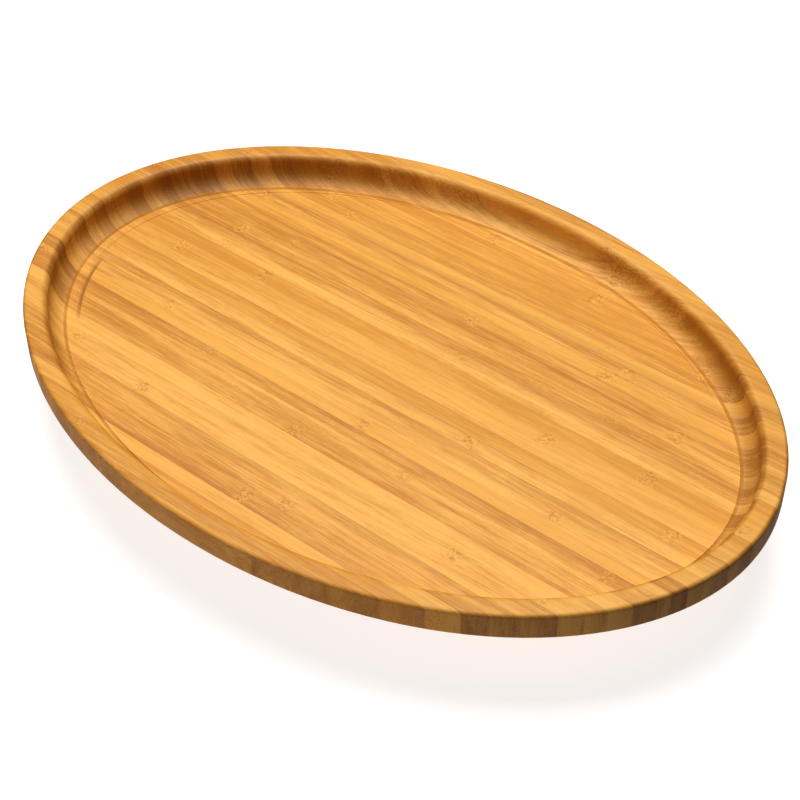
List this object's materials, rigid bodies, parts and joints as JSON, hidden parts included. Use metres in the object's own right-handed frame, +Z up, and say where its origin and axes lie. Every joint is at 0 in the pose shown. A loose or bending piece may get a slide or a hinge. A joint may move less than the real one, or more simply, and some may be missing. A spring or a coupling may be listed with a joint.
{
  "type": "lazy susan turntable",
  "caption": "Oval bamboo tray with a flat rim, coved wall and flat floor that turns on a round bamboo foot through a flat ball-bearing swivel; stands on rubber feet.",
  "frame": {"origin": "on the surface that the feet stand on, below the centre of rotation and of the oval", "axes": "+Z up along the axis of rotation, +X along the long axis of the tray at rest"},
  "size_m": [0.406, 0.288, 0.05],
  "materials": {
    "tray_bamboo": "side-pressed bamboo strips, oiled satin",
    "base_bamboo": "side-pressed bamboo strips, oiled satin",
    "swivel_plate": "stamped sheet, bright zinc plated",
    "hub_eyelet": "rolled sheet, bright zinc plated",
    "ball_cage": "punched sheet, lightly oiled",
    "bearing_ball": "polished and greased",
    "screw": "zinc plated",
    "foot_rubber": "moulded, matt",
    "foot_washer": "zinc plated"
  },
  "bodies": {
    "base": {"base_disc": "base_bamboo", "lower_swivel_plate": "swivel_plate", "hub_eyelet": "hub_eyelet", "base_screw_1": "screw", "base_screw_2": "screw", "base_screw_3": "screw", "base_screw_4": "screw", "foot_1": "foot_rubber", "foot_2": "foot_rubber", "foot_3": "foot_rubber", "foot_4": "foot_rubber", "foot_washer_1": "foot_washer", "foot_washer_2": "foot_washer", "foot_washer_3": "foot_washer", "foot_washer_4": "foot_washer", "foot_screw_1": "screw", "foot_screw_2": "screw", "foot_screw_3": "screw", "foot_screw_4": "screw"},
    "bearing": {"ball_cage": "ball_cage", "bearing_balls": "bearing_ball"},
    "turntable": {"tray": "tray_bamboo", "upper_swivel_plate": "swivel_plate", "tray_screw_1": "screw", "tray_screw_2": "screw", "tray_screw_3": "screw", "tray_screw_4": "screw"}
  },
  "joints": [
    {"name": "tray_spin", "type": "hinge", "parent": "base", "child": "turntable", "pos_m": [0, 0, 0.021], "axis": [0, 0, 1], "continuous": true},
    {"name": "cage_spin", "type": "hinge", "parent": "base", "child": "bearing", "pos_m": [0, 0, 0.021], "axis": [0, 0, 1], "continuous": true}
  ],
  "couplings": [
    {"joint": "cage_spin", "follows": "tray_spin", "ratio": 0.5}
  ]
}
